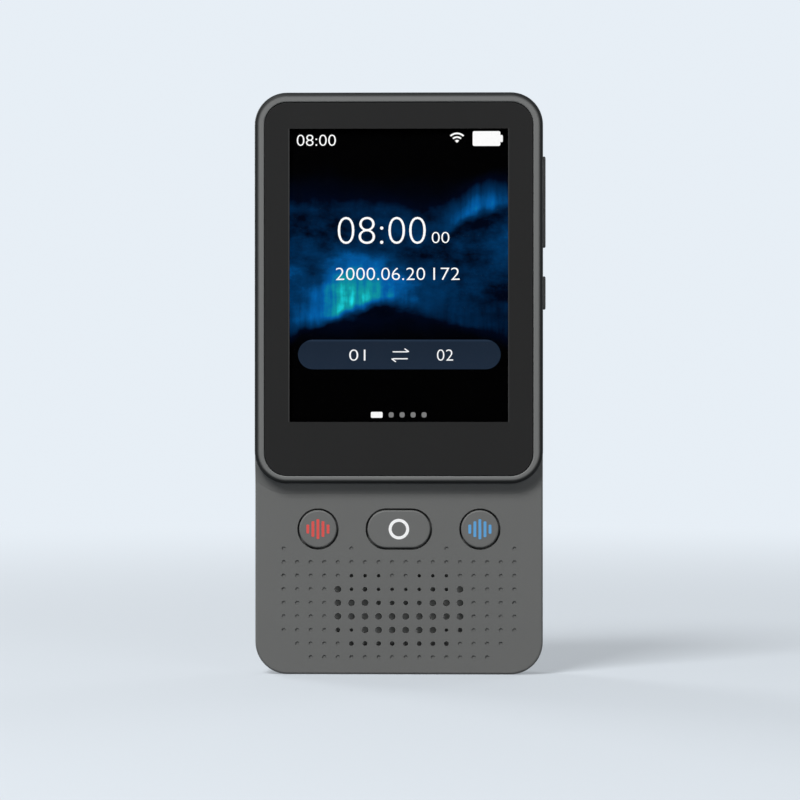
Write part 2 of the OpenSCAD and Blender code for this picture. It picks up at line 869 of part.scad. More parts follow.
// The diaphragm: a flat ring with a crowned middle
module speaker_cone() {
    color("dimgray") stand() translate([0, speaker_y, 0]) {
        plate(basket_w - 0.1, basket_h - 0.1, 1.9, cone_z, cone_z + cone_t);
        soft_plate(17, 7.4, 3, cone_z, cone_z + cone_t + 0.3, 0.25);
    }
}

// ---------------------------------------------------------------- boards

module sub_board() {
    low_y = wall + 0.3;
    high_y = 38.6;
    color("darkgreen") stand() difference() {
        translate([0, (low_y + high_y) / 2, 0])
            plate(body_w - 2 * wall - 1.6, high_y - low_y, 1, sub_z, sub_face);
        at_corner_screws() translate([0, 0, sub_z - 1]) cylinder(h = 3, r = post_r + 0.6);
        for (sx = [-1, 1])
            translate([sx * half_w, 0, sub_z - 1]) cylinder(h = 3, r = post_in + 1.4);
        at_sub_posts() translate([0, 0, sub_z - 1]) cylinder(h = 3, r = small_screw_r + 0.15);
    }
}

module main_board() {
    color("darkgreen") stand() difference() {
        block([main_x[0], main_y[0], main_z], [main_x[1], main_y[1], main_face]);
        block([-half_w, body_h - post_in - 3, main_z - 1],
              [post_in + 3 - half_w, body_h, main_face + 1]);
        for (p = main_posts)
            translate([p[0], p[1], main_z - 1]) cylinder(h = 3, r = small_screw_r + 0.1);
    }
}

module board_screws() {
    color("silver") stand() {
        at_sub_posts() {
            translate([0, 0, sub_z - small_head_t]) cylinder(h = small_head_t, r = small_head_r);
            translate([0, 0, sub_z - eps]) cylinder(h = 3.4, r = small_screw_r);
        }
        for (p = main_posts) translate([p[0], p[1], 0]) {
            translate([0, 0, main_z - small_head_t]) cylinder(h = small_head_t, r = small_head_r);
            translate([0, 0, main_z - eps]) cylinder(h = 3, r = small_screw_r);
        }
    }
}

module shield_can() {
    color("silver") stand() translate([-6, chip_y + 1, 0]) difference() {
        plate(26, 22, 0.8, main_face, main_face + can_t);
        plate(26 - 2 * can_skin, 22 - 2 * can_skin, 0.6, main_face - 1,
              main_face + can_t - can_skin);
    }
}

module processor() {
    color("black") stand() translate([-11, chip_y, 0])
        plate(12, 12, 0.3, main_face, main_face + 1.2);
}

module memory_chip() {
    color("black") stand() translate([1, chip_y + 2, 0])
        plate(9, 8, 0.2, main_face, main_face + 1);
}

module thermal_pad() {
    color("lightblue") stand() translate([-11, chip_y, 0])
        plate(12, 12, 0.3, main_face + can_t, frame_z);
}

// Joins the two boards, behind the battery
module board_link_flex() {
    rear_z = battery_z - 0.6;
    color("orange") stand() ribbon([
        [33, sub_z - 0.08],
        [39.5, sub_z - 0.08],
        [41.5, rear_z],
        [81.5, rear_z],
        [84.5, main_z - 0.08],
        [89, main_z - 0.08]
    ], link_flex_x);
}

module wifi_antenna() {
    inner_y = body_h - wall;
    color("goldenrod") stand()
        block([-12, inner_y - 0.3, main_face + 0.4], [6, inner_y - 0.1, main_face + 2.2]);
}

module microphone(x, y, z) {
    translate([x, y, 0]) difference() {
        plate(mic_w, mic_h, 0.3, z, z + mic_t);
        translate([0, 0, z + mic_t - 0.4]) cylinder(h = 1, r = 0.3);
    }
}

module bottom_microphone() {
    color("gold") stand() microphone(bottom_mic_x, 4, sub_face);
}

module top_microphone() {
    color("gold") stand() microphone(top_mic_x, body_h - 6, main_face);
}

// A rubber duct from a microphone's port to the hole in the end wall
module mic_boot(x, y0, y1, port_y, z) {
    color("black") stand() difference() {
        block([x - mic_w / 2, y0, z], [x + mic_w / 2, y1, z + boot_t]);
        translate([x, port_y, z + boot_t / 2])
            rotate([port_y > mid_y ? -90 : 90, 0, 0]) cylinder(h = 10, r = mic_hole_r - 0.1);
        translate([x, port_y, z - 1]) cylinder(h = 1 + boot_t / 2, r = 0.3);
    }
}

module bottom_mic_boot() {
    mic_boot(bottom_mic_x, wall + 0.05, 5.2, 4, sub_face + mic_t);
}

module top_mic_boot() {
    mic_boot(top_mic_x, body_h - 7.2, body_h - wall - 0.05, body_h - 6, main_face + mic_t);
}

// ---------------------------------------------------------------- charging socket

module usb_shell() {
    color("silver") stand() translate([0, usb_recess, usb_z]) rotate([-90, 0, 0]) difference() {
        plate(usb_w, usb_t, usb_t / 2, 0, usb_len);
        plate(usb_w - 2 * usb_skin, usb_t - 2 * usb_skin, usb_t / 2 - usb_skin,
              -1, usb_len - usb_skin);
    }
}

module usb_tongue() {
    base_y = usb_recess + usb_len - usb_skin;
    color("black") stand() {
        translate([0, 0, usb_z]) rotate([-90, 0, 0])
            plate(usb_w - 2 * usb_skin - 0.04, usb_t - 2 * usb_skin - 0.04,
                  usb_t / 2 - usb_skin - 0.02, base_y - 1.4, base_y);
        block([-3.35, usb_recess + 0.8, usb_z - 0.35], [3.35, base_y - 1, usb_z + 0.35]);
    }
}

// ---------------------------------------------------------------- battery

module battery_cell() {
    color("silver") stand() translate([0, battery_y, 0])
        soft_plate(battery_w, battery_h, 1.6, battery_z, battery_z + battery_t, 0.8, 0.8);
}

// The cell's protection board, its wires, and the plug on the main board
module battery_lead() {
    cell_top = battery_y + battery_h / 2;
    wire_z = main_face + 0.6;
    color("firebrick") stand() {
        block([-14, cell_top + 0.1, wire_z - 1.6], [14, cell_top + 1.9, wire_z + 0.6]);
        for (x = [-1.5, 0.5, 2.5])
            translate([x, cell_top + 1.8, wire_z]) rotate([-90, 0, 0])
                cylinder(h = main_y[0] + 1 - cell_top - 1.8, r = 0.4);
        block([-2.5, main_y[0] + 0.9, main_face], [3.5, main_y[0] + 3.8, main_face + 1.2]);
    }
}

module battery_tape() {
    color("white") stand() for (x = [[-22, -14.5], [-5.5, 22]])
        block([x[0], battery_y - 16, battery_z + battery_t], [x[1], battery_y + 16, frame_z]);
}

// ---------------------------------------------------------------- camera

module camera_plate() {
    color("black") stand() difference() {
        translate([(camera[0] + flash[0]) / 2, camera[1], 0])
            soft_plate(plate_w, plate_h, plate_h / 2, 0, plate_t, 0, 0.15);
        translate([camera[0], camera[1], -1]) cylinder(h = 3, r = camera_ring_r);
        translate([flash[0], flash[1], -1]) cylinder(h = 3, r = flash_r);
    }
}

module camera_ring() {
    color("silver") stand() translate([camera[0], camera[1], 0]) difference() {
        cylinder(h = plate_t, r = camera_ring_r);
        translate([0, 0, -1]) cylinder(h = 3, r = camera_window_r);
        translate([0, 0, -eps]) cylinder(h = 0.3, r1 = camera_window_r + 0.3, r2 = camera_window_r);
    }
}

module camera_window() {
    color("lightblue") stand() translate([camera[0], camera[1], 0.3])
        cylinder(h = plate_t - 0.3, r = camera_window_r);
}

module camera_module() {
    color("black") stand() translate([camera[0], camera[1], 0]) difference() {
        union() {
            plate(8.4, 8.4, 0.5, rear_skin + 0.9, main_z);
            translate([0, 0, plate_t + 0.3]) cylinder(h = 1.4, r = 3);
        }
        translate([0, 0, plate_t]) cylinder(h = 0.9, r1 = 2.2, r2 = 1.4);
    }
}

module flash_lens() {
    color("lemonchiffon") stand() translate([flash[0], flash[1], 0]) {
        cylinder(h = plate_t, r = flash_r);
        translate([0, 0, plate_t - eps]) cylinder(h = main_z - 0.8 - plate_t, r = flash_pipe_r);
    }
}

module flash_led() {
    color("khaki") stand() translate([flash[0], flash[1], 0])
        plate(2.4, 2.4, 0.2, main_z - 0.8, main_z);
}

// ---------------------------------------------------------------- every piece

front_housing();
rear_cover();
screen_bezel();
cover_glass();
glass_adhesive();
touch_sensor();
display_panel();
light_guide();
backlight_tray();
display_flex();
mid_frame();
left_key();
home_key();
right_key();
actuator(-key_pitch);  // left_actuator
actuator(0);  // home_actuator
actuator(key_pitch);  // right_actuator
key_switches();
key_domes();
key_membrane();
volume_key();
volume_pivot_pin();
power_key();
side_key_bracket();
side_key_flex();
side_switches();
side_domes();
grille_mesh();
speaker_gasket();
speaker_frame();
speaker_magnet();
speaker_coil();
speaker_cone();
sub_board();
usb_shell();
usb_tongue();
bottom_microphone();
bottom_mic_boot();
top_microphone();
top_mic_boot();
main_board();
shield_can();
processor();
memory_chip();
thermal_pad();
board_link_flex();
battery_cell();
battery_lead();
battery_tape();
wifi_antenna();
camera_plate();
camera_ring();
camera_window();
camera_module();
flash_lens();
flash_led();
rear_screws();
board_screws();
frame_screws();
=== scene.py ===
"""Finishes, screen image, key marks and a plain studio for a handheld translator.

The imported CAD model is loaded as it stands. Its nodes get procedural finishes, and the thin
printed and lit pieces that the solids don't hold are built on them. Lengths are in metres, in
the model's own frame: X across the screen, Y into it and Z up.
"""

import json
import math

import bmesh
import bpy
from bpy.props import FloatProperty, FloatVectorProperty, IntProperty, PointerProperty, StringProperty
from mathutils import Matrix, Vector


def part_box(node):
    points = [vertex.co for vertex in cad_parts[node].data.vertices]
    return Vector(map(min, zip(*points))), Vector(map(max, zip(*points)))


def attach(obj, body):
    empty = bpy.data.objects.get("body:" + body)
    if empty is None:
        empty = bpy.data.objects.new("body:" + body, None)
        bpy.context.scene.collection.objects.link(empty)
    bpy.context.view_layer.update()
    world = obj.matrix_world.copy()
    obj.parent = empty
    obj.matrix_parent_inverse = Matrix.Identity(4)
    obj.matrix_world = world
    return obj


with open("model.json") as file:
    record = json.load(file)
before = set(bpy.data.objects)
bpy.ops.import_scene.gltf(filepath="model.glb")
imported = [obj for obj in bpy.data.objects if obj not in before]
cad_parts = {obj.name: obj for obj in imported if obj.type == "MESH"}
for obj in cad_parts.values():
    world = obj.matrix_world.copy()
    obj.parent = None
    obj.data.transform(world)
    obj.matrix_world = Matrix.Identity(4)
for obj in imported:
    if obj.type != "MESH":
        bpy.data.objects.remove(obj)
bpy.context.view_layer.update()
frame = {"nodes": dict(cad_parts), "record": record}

bl_info = {
    "name": "Handheld translator",
    "version": (1, 0, 0),
    "blender": (4, 5, 0),
    "location": "View3D > Sidebar > Translator",
    "description": "Dresses the handheld translator's CAD model and sets a plain studio round it",
    "category": "Object",
}

MM = 0.001
SLOT_OF = {part["node"]: part["material_slot"] for part in frame["record"]["subparts"]}
SLOT_COLOUR = {m["slot"]: tuple(m["base_color"][:3]) for m in frame["record"]["materials"]}

# Lit layers in front of the display panel: how far forward the face of each is, and its thickness
BAR_FORWARD, BAR_THICK = 0.03 * MM, 0.025 * MM
MARK_FORWARD, MARK_THICK = 0.075 * MM, 0.03 * MM
# How brightly the backdrop and the bar shine, and the figures and marks in front of them
LAYER_STRENGTH, MARK_STRENGTH = 1.05, 1.06
# Surface colour of the bar, the figures and the marks, which show by their own light
UNLIT = (0.002, 0.002, 0.002)


def colour_property(name, description, default):
    """A colour that a user may change."""
    return FloatVectorProperty(
        name=name, description=description, default=default, subtype="COLOR", size=3, min=0, max=1
    )


def length_property(name, description, default):
    """A length in metres that a user may change."""
    return FloatProperty(
        name=name, description=description, default=default, subtype="DISTANCE", unit="LENGTH", min=0
    )


# ---------------------------------------------------------------- what a user would change


class CasingSettings(bpy.types.PropertyGroup):
    """Colours of the casing and sizes of the marks on its keys."""

    body_colour: colour_property(
        "Casing colour", "Moulded plastic of the housing and the rear cover", SLOT_COLOUR["housing"]
    )
    ring_colour: colour_property(
        "Ring colour", "Satin ring round the glass", SLOT_COLOUR["bezel"]
    )
    # Painted shade: the colour that the ring's rim and sides are darkened to, in place of the shade
    # where they turn from the light
    flank_shade_colour: colour_property(
        "Flank colour", "Darker sides of the ring", (0.014, 0.015, 0.015)
    )
    key_colour: colour_property(
        "Key colour", "Moulded plastic of all five keys", SLOT_COLOUR["key"]
    )
    left_mark_colour: colour_property(
        "Left mark", "Sound wave on the left key", (0.72, 0.085, 0.075)
    )
    right_mark_colour: colour_property(
        "Right mark", "Sound wave on the right key", (0.11, 0.36, 0.68)
    )
    home_mark_colour: colour_property(
        "Home mark", "Ring on the home key", (0.98, 0.98, 0.98)
    )
    grain: length_property("Grain", "Size of the casing's moulded grain", 0.14 * MM)
    bar_width: length_property("Bar width", "Width of one bar of a sound wave", 0.6 * MM)
    bar_pitch: length_property("Bar pitch", "Distance between the bars of a sound wave", 1.06 * MM)
    home_ring: length_property("Home ring", "Outer diameter of the ring on the home key", 4.3 * MM)
    mark_proud: length_property("Mark height", "How far a mark stands out of its key", 0.02 * MM)
    corner: length_property("Corner", "Radius of the corners of the ring", 6.8 * MM)


class ScreenSettings(bpy.types.PropertyGroup):
    """Sizes, colours and figures of what the screen shows."""

    lit_width: length_property("Lit width", "Width of the lit area", 45.8 * MM)
    lit_height: length_property("Lit height", "Height of the lit area", 61.4 * MM)
    lit_centre: length_property("Lit centre", "Height of the middle of the lit area", 83.7 * MM)
    border_colour: colour_property(
        "Border colour", "Ink behind the edge of the glass", (0.0245, 0.0245, 0.0245)
    )
    haze_colour: colour_property(
        "Haze colour", "Broad glow of the screen's backdrop", (0.001, 0.105, 0.36)
    )
    glow_colour: colour_property(
        "Glow colour", "Brightest part of the screen's backdrop", (0.012, 0.72, 0.80)
    )
    bar_colour: colour_property(
        "Bar colour", "Talk bar across the screen", (0.0114, 0.0212, 0.0395)
    )
    hour_figures: StringProperty(
        name="Time", description="Plain figures of the clock", default="08:00"
    )
    second_figures: StringProperty(
        name="Seconds", description="Plain figures after the clock", default="00"
    )
    date_figures: StringProperty(
        name="Date", description="Plain figures below the clock", default="2000.06.20"
    )
    day_figures: StringProperty(
        name="Day", description="Plain figures after the date", default="172"
    )
    first_choice: StringProperty(
        name="First choice", description="Plain figures left of the swap mark", default="01"
    )
    second_choice: StringProperty(
        name="Second choice", description="Plain figures right of the swap mark", default="02"
    )
    page_count: IntProperty(
        name="Pages", description="Number of marks at the foot of the screen", default=5, min=1, max=9
    )


class StudioSettings(bpy.types.PropertyGroup):
    """Floor, lamps and camera."""

    floor_colour: colour_property("Floor colour", "Plain pale floor", (0.52, 0.56, 0.60))
    floor_bounce: FloatProperty(
        name="Floor bounce", description="Share of the floor's light that reaches the object",
        default=0.3, min=0, max=1, subtype="FACTOR",
    )
    room_colour: colour_property("Room colour", "What is seen behind the object", (0.80, 0.86, 0.92))
    room_light: FloatProperty(
        name="Room light", description="Level of the light from all round", default=0.14, min=0
    )
    lamp_power: FloatProperty(
        name="Lamp power", description="Power of the main lamp", default=16.0, min=0, unit="POWER"
    )
    camera_distance: length_property(
        "Camera distance", "From the camera to the front of the object", 0.66
    )
    camera_turn: FloatProperty(
        name="Camera turn", description="Turn of the camera round the object",
        default=math.radians(1.2), subtype="ANGLE", unit="ROTATION",
    )
    framed_width: length_property(
        "Framed width", "Width of the camera's view at the front of the object", 167.7 * MM
    )
    framed_centre: FloatVectorProperty(
        name="Framed point", description="Point in the middle of the camera's view",
        default=(0.25 * MM, -5 * MM, 57.6 * MM), subtype="TRANSLATION", unit="LENGTH", size=3,
    )


# ---------------------------------------------------------------- shader nodes


class Wire:
    """An output of a shader tree. Arithmetic on it adds Math nodes to the tree."""

    def __init__(self, tree, socket):
        self.tree, self.socket = tree, socket

    def maths(self, operation, *values):
        """A Math node on numbers and wires."""
        return self.tree.node("Math", {"operation": operation}, dict(enumerate(values)))

    def __add__(self, other):
        return self.maths("ADD", self, other)

    def __radd__(self, other):
        return self.maths("ADD", other, self)

    def __sub__(self, other):
        return self.maths("SUBTRACT", self, other)

    def __rsub__(self, other):
        return self.maths("SUBTRACT", other, self)

    def __mul__(self, other):
        return self.maths("MULTIPLY", self, other)

    def __rmul__(self, other):
        return self.maths("MULTIPLY", other, self)

    def __truediv__(self, other):
        return self.maths("DIVIDE", self, other)

    def __rtruediv__(self, other):
        return self.maths("DIVIDE", other, self)

    def __pow__(self, other):
        return self.maths("POWER", self, other)

    def __rpow__(self, other):
        return self.maths("POWER", other, self)

    def __lt__(self, other):
        return self.maths("LESS_THAN", self, other)

    def __gt__(self, other):
        return self.maths("GREATER_THAN", self, other)

    def __abs__(self):
        return self.maths("ABSOLUTE", self)

    def sine(self):
        """Its sine, as an angle in radians."""
        return self.maths("SINE", self)


class Tree:
    """The shader nodes of a material, a world or a lamp."""

    def __init__(self, owner):
        owner.use_nodes = True
        self.nodes, self.links = owner.node_tree.nodes, owner.node_tree.links
        self.nodes.clear()

    def node(self, kind, settings=None, values=None, output=0):
        """Adds a node, sets it up, then fills its inputs with values or wires."""
        made = self.nodes.new("ShaderNode" + kind)
        for name, value in (settings or {}).items():
            if name == "stops":
                ramp = made.color_ramp.elements
                while len(ramp) < len(value):
                    ramp.new(1.0)
                for stop, (place, colour) in zip(ramp, value):
                    stop.position, stop.color = place, (*colour, 1)
            else:
                setattr(made, name, value)
        for name, value in (values or {}).items():
            if isinstance(value, Wire):
                self.links.new(value.socket, made.inputs[name])
            else:
                made.inputs[name].default_value = value
        return Wire(self, made.outputs[output]) if made.outputs else None

    def step(self, value, low, high):
        """0 below low and 1 above high, or the other way round where low is the larger."""
        return self.node(
            "MapRange", {"interpolation_type": "SMOOTHSTEP"},
            {"Value": value, "From Min": low, "From Max": high, "To Min": 0.0, "To Max": 1.0},
        )

    def mix(self, share, first, second):
        """first where share is 0 and second where it is 1, as colours."""
        values = {0: share}
        for place, colour in ((6, first), (7, second)):
            values[place] = colour if isinstance(colour, Wire) else (*colour, 1)
        return self.node("Mix", {"data_type": "RGBA"}, values, output=2)

    def at_least(self, value, least):
        """The larger of two values or wires."""
        return self.node("Math", {"operation": "MAXIMUM"}, {0: value, 1: least})

    def shade(self, colour, level):
        """A colour made darker or lighter by a wire."""
        return self.node("VectorMath", {"operation": "SCALE"}, {0: colour, "Scale": level})

    def ramp(self, value, stops):
        """Colours that follow a wire through stops, each a place from 0 to 1 and a colour."""
        return self.node("ValToRGB", {"stops": stops}, {0: value})


class Finish(Tree):
    """A material with one Principled shader, its patterns sized in millimetres."""

    def __init__(self, name):
        self.material = bpy.data.materials.new(name)
        super().__init__(self.material)
        self.place = self.node(
            "VectorMath", {"operation": "SCALE"},
            {0: self.node("TexCoord", output=3), "Scale": 1 / MM},
        )

    def axes(self):
        """X, Y and Z as three wires, in millimetres."""
        split = self.node("SeparateXYZ", values={0: self.place})
        return [Wire(self, o) for o in split.socket.node.outputs]

    def stretched(self, stretch):
        """The place that a pattern reads, so that it comes out longer along some axes."""
        if stretch == (1, 1, 1):
            return self.place
        return self.node("VectorMath", {"operation": "DIVIDE"}, {0: self.place, 1: stretch})

    def noise(self, size, detail=3.0, stretch=(1, 1, 1), roughness=0.5):
        """Soft noise from 0 to 1 with blobs about size across, longer along a stretched axis."""
        return self.node(
            "TexNoise", values={
                "Vector": self.stretched(stretch), "Scale": 1 / size,
                "Detail": detail, "Roughness": roughness,
            },
        )

    def cells(self, size):
        """Distance to the nearest of scattered points about size apart."""
        return self.node(
            "TexVoronoi", {"feature": "F1"}, {"Vector": self.place, "Scale": 1 / size}
        )

    def wave(self, value, pitch):
        """A sine from 0 to 1 that repeats every pitch of value."""
        return (value * (math.tau / pitch)).sine() * 0.5 + 0.5

    def surface(self, colour, roughness, height=None, depth=0.01, **sockets):
        """Joins colour, roughness and an optional bump to the shader and returns the material.

        height is the bump's pattern, and depth how deep it goes, in millimetres.
        """
        values = {
            "Base Color": colour if isinstance(colour, Wire) else (*colour, 1),
            "Roughness": roughness,
        }
        if height is not None:
            values["Normal"] = self.node(
                "Bump", values={"Strength": 1.0, "Distance": depth * MM, "Height": height}
            )
        for name, value in sockets.items():
            if name.endswith("Color") and not isinstance(value, Wire):
                value = (*value, 1)
            values[name.replace("_", " ")] = value
        shader = self.node("BsdfPrincipled", values=values)
        self.node("OutputMaterial", values={"Surface": shader})
        return self.material


# ---------------------------------------------------------------- families of finishes
# The sizes in these patterns are millimetres, and the shares of colour and roughness plain numbers.


def moulded(name, colour, roughness, grain, depth, clouds=0.04, **sockets):
    """Moulded plastic or rubber: an eroded grain and faint clouds in its colour."""
    f = Finish(name)
    grains = f.noise(grain, 2.0)
    broad = f.noise(7.0, 4.0)
    tone = 1 - clouds + 2 * clouds * (0.6 * broad + 0.4 * grains)
    return f.surface(
        f.shade(colour, tone), roughness - 0.05 + 0.1 * broad, grains, depth, **sockets
    )


def brushed(name, colour, roughness, stretch, line=0.08):
    """Rolled or brushed metal, with fine lines along the stretched axes."""
    f = Finish(name)
    lines = f.noise(line, 3.0, stretch)
    broad = f.noise(5.0, 3.0)
    tone = 0.92 + 0.1 * lines + 0.06 * broad
    return f.surface(
        f.shade(colour, tone), roughness - 0.06 + 0.16 * lines, lines, 0.003, Metallic=1.0
    )


def plated(name, colour, roughness=0.22, spots=0.5):
    """Plated metal: smooth, with soft patches of duller plating."""
    f = Finish(name)
    patches = f.noise(spots, 4.0)
    return f.surface(
        f.shade(colour, 0.9 + 0.15 * patches), roughness - 0.05 + 0.2 * patches,
        patches, 0.002, Metallic=1.0,
    )


def cast_metal(name, colour):
    """Die-cast metal with flow marks and a pebbled skin."""
    f = Finish(name)
    pebbles = f.cells(0.35)
    flow = f.noise(3.0, 5.0, (1, 1, 3))
    return f.surface(
        f.shade(colour, 0.84 + 0.22 * flow), 0.42 + 0.2 * flow, pebbles, 0.01, Metallic=0.9
    )


def foam(name, colour):
    """Closed-cell foam or felt tape."""
    f = Finish(name)
    cells = f.cells(0.25)
    return f.surface(f.shade(colour, 0.8 + 0.3 * cells), 0.85, cells, 0.05)


def circuit_board(name, colour):
    """Solder mask over copper tracks, with a scatter of tinned pads."""
    f = Finish(name)
    x, _, z = f.axes()
    track_pitch = 0.5
    bend = f.noise(4.0, 1.0)
    across = f.wave(x + 3 * bend, track_pitch)
    along = f.wave(z + 3 * bend, track_pitch)
    field = f.noise(6.0, 0.0) > 0.5
    tracks = f.step(field * across + (1 - field) * along, 0.62, 0.72)
    pads = f.step(f.cells(1.3), 0.17, 0.13)
    mask = f.mix(tracks, tuple(0.75 * c for c in colour), tuple(1.7 * c for c in colour))
    return f.surface(
        f.mix(pads, mask, (0.62, 0.62, 0.6)), 0.28 + 0.08 * pads,
        tracks + pads, 0.02, Metallic=pads,
    )


def chip(name, colour):
    """Moulded chip body: fine filler grain and a faint sheen."""
    f = Finish(name)
    filler = f.noise(0.06, 3.0)
    return f.surface(f.shade(colour, 0.8 + 0.4 * filler), 0.5 + 0.1 * filler, filler, 0.006)


def pouch_foil(name, colour):
    """Laminate foil of a battery pouch, with soft creases."""
    f = Finish(name)
    creases = f.noise(2.6, 2.0, (1, 1, 2.4))
    fine = f.noise(0.3, 2.0)
    return f.surface(
        f.shade(colour, 0.85 + 0.2 * creases), 0.3 + 0.12 * fine,
        creases + 0.08 * fine, 0.12, Metallic=0.85,
    )


def wound_wire(name, colour):
    """Turns of enamelled wire stacked along Y."""
    f = Finish(name)
    _, y, _ = f.axes()
    wire_pitch = 0.12
    turns = f.wave(y, wire_pitch)
    return f.surface(
        f.shade(colour, 0.6 + 0.45 * turns), 0.3 + 0.1 * f.noise(0.5), turns, 0.03, Metallic=0.9
    )


def flat_cable(name, colour):
    """Polyimide film with copper tracks showing through it."""
    f = Finish(name)
    x, _, _ = f.axes()
    track_pitch = 0.5
    tracks = f.step(f.wave(x, track_pitch), 0.45, 0.6)
    return f.surface(
        f.mix(tracks, tuple(0.55 * c for c in colour), colour), 0.22 + 0.1 * f.noise(0.8),
        tracks, 0.01, Coat_Weight=0.4, Coat_Roughness=0.1,
    )


def woven_mesh(name, colour):
    """Fine dust cloth: plain weave of thread in X and Z."""
    f = Finish(name)
    x, _, z = f.axes()
    thread_pitch = 0.16
    weave = f.at_least(f.wave(x, thread_pitch), f.wave(z, thread_pitch))
    return f.surface(f.shade(colour, 0.45 + 0.75 * weave), 0.8, weave, 0.05)


def polished(name, colour, alpha, roughness=0.04, tint=None):
    """Clear or tinted glass, with the faint bloom of a coating."""
    f = Finish(name)
    bloom = f.noise(3.0, 2.0)
    shown = f.mix(bloom, colour, tint) if tint else f.shade(colour, 0.9 + 0.2 * bloom)
    return f.surface(
        shown, roughness + 0.03 * bloom, Alpha=alpha, Specular_IOR_Level=0.6,
        Coat_Weight=0.6, Coat_Roughness=0.02,
    )


def lit(name, colour):
    """A lit shape on the screen, a touch dimmer towards the edge of the backlight."""
    f = Finish(name)
    x, _, _ = f.axes()
    fade = 0.04
    level = 1 - fade * f.step(abs(x), 8.0, 23.0) - 0.5 * fade * f.noise(3.0)
    return f.surface(
        UNLIT, 0.6, Emission_Color=f.shade(colour, level), Emission_Strength=MARK_STRENGTH,
        Specular_IOR_Level=0.0,
    )


# ---------------------------------------------------------------- shapes


def mm(*lengths):
    """Lengths given in millimetres, as metres."""
    return tuple(length * MM for length in lengths)


def joined(parts):
    """One bmesh that holds several, which are used up."""
    whole = bmesh.new()
    for part in parts:
        carrier = bpy.data.meshes.new("carrier")
        part.to_mesh(carrier)
        part.free()
        whole.from_mesh(carrier)
        bpy.data.meshes.remove(carrier)
    return whole


def slab(centre, size, front, depth, corner, turn=0.0):
    """A thin plate that faces -Y, with rounded corners.

    centre is its X and Z, front the Y of its face, and turn is about Y.
    """
    bm = bmesh.new()
    bmesh.ops.create_cube(bm, size=1.0)
    bmesh.ops.scale(bm, vec=(size[0], depth, size[1]), verts=bm.verts)
    along_y = [e for e in bm.edges if abs(e.verts[0].co.y - e.verts[1].co.y) > depth / 2]
    roundest = 0.4999 * min(size)
    bmesh.ops.bevel(
        bm, geom=along_y, offset=min(corner, roundest), affect="EDGES",
        segments=8, profile=0.5, material=-1, clamp_overlap=True,
    )
    bmesh.ops.rotate(bm, cent=(0, 0, 0), matrix=Matrix.Rotation(turn, 3, "Y"), verts=bm.verts)
    bmesh.ops.translate(bm, vec=(centre[0], front + depth / 2, centre[1]), verts=bm.verts)
    return bm


def arc_band(centre, inner, outer, front, depth, sweep=math.tau, steps=64):
    """A flat ring, or the part of one that spans sweep about straight up, facing -Y."""
    bm = bmesh.new()
    places = ((inner, 0), (outer, 0), (outer, depth), (inner, depth))
    corners = [bm.verts.new((0, y, r)) for r, y in places]
    loop = [bm.edges.new((corners[i], corners[(i + 1) % 4])) for i in range(4)]
    full = sweep >= math.tau - 1e-6
    if not full:
        bmesh.ops.rotate(
            bm, cent=(0, 0, 0), matrix=Matrix.Rotation(-sweep / 2, 3, "Y"), verts=bm.verts
        )
    bmesh.ops.spin(
        bm, geom=corners + loop, cent=(0, 0, 0), axis=(0, 1, 0), angle=sweep, steps=steps,
        use_merge=full,
    )
    if not full:
        bmesh.ops.holes_fill(bm, edges=[e for e in bm.edges if e.is_boundary], sides=4)
    bmesh.ops.translate(bm, vec=(centre[0], front, centre[1]), verts=bm.verts)
    return bm


def figures(text, corner, size, front, depth, thin):
    """Plain figures that fill a box, given by its lower left corner, and face -Y.

    thin moves their outline, in the font's own units: inwards where it is below 0.
    """
    curve = bpy.data.curves.new("figures", "FONT")
    curve.body = text
    curve.offset = thin
    curve.resolution_u = 5
    curve.extrude = 0.5
    holder = bpy.data.objects.new("figures", curve)
    bpy.context.scene.collection.objects.link(holder)
    depsgraph = bpy.context.evaluated_depsgraph_get()
    mesh = bpy.data.meshes.new_from_object(holder.evaluated_get(depsgraph), depsgraph=depsgraph)
    bm = bmesh.new()
    bm.from_mesh(mesh)
    bpy.data.objects.remove(holder)
    bpy.data.curves.remove(curve)
    bpy.data.meshes.remove(mesh)
    if not bm.verts:
        raise RuntimeError(f"no outline came out for the figures {text!r}")
    low = [min(v.co[i] for v in bm.verts) for i in range(3)]
    high = [max(v.co[i] for v in bm.verts) for i in range(3)]
    bmesh.ops.translate(bm, vec=[-low[0], -low[1], 0], verts=bm.verts)
    bmesh.ops.scale(
        bm, verts=bm.verts,
        vec=[want / (high[i] - low[i]) for i, want in enumerate((*size, depth))],
    )
    bmesh.ops.rotate(
        bm, cent=(0, 0, 0), matrix=Matrix.Rotation(math.pi / 2, 3, "X"), verts=bm.verts
    )
    bmesh.ops.translate(bm, vec=(corner[0], front + depth / 2, corner[1]), verts=bm.verts)
    return bm


def piece(name, bm, material, body):
    """Turns a bmesh into a piece that rides on a body, with its place in its mesh."""
    bmesh.ops.remove_doubles(bm, verts=bm.verts, dist=1e-7)
    bmesh.ops.recalc_face_normals(bm, faces=bm.faces)
    mesh = bpy.data.meshes.new(name)
    bm.to_mesh(mesh)
    bm.free()
    mesh.materials.append(material)
    obj = bpy.data.objects.new(name, mesh)
    bpy.context.scene.collection.objects.link(obj)
    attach(obj, body)


def dress(material, *nodes):
    """Gives a finish to CAD nodes."""
    for node in nodes:
        obj = frame["nodes"][node]
        if not obj.material_slots:
            obj.data.materials.append(material)
        for holder in obj.material_slots:
            holder.material = material


def nodes_of(slot):
    """The CAD nodes that the record gives a material slot."""
    return [node for node, used in SLOT_OF.items() if used == slot]


def face_of(node):
    """The middle of a CAD node as X and Z, and the Y of its front."""
    low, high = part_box(node)
    return ((low.x + high.x) / 2, (low.z + high.z) / 2), low.y


# ---------------------------------------------------------------- what is lit on the screen


def on_screen(screen, across, up):
    """A point given in millimetres from the middle of the lit area, as X and Z in metres."""
    return across * MM, screen.lit_centre + up * MM


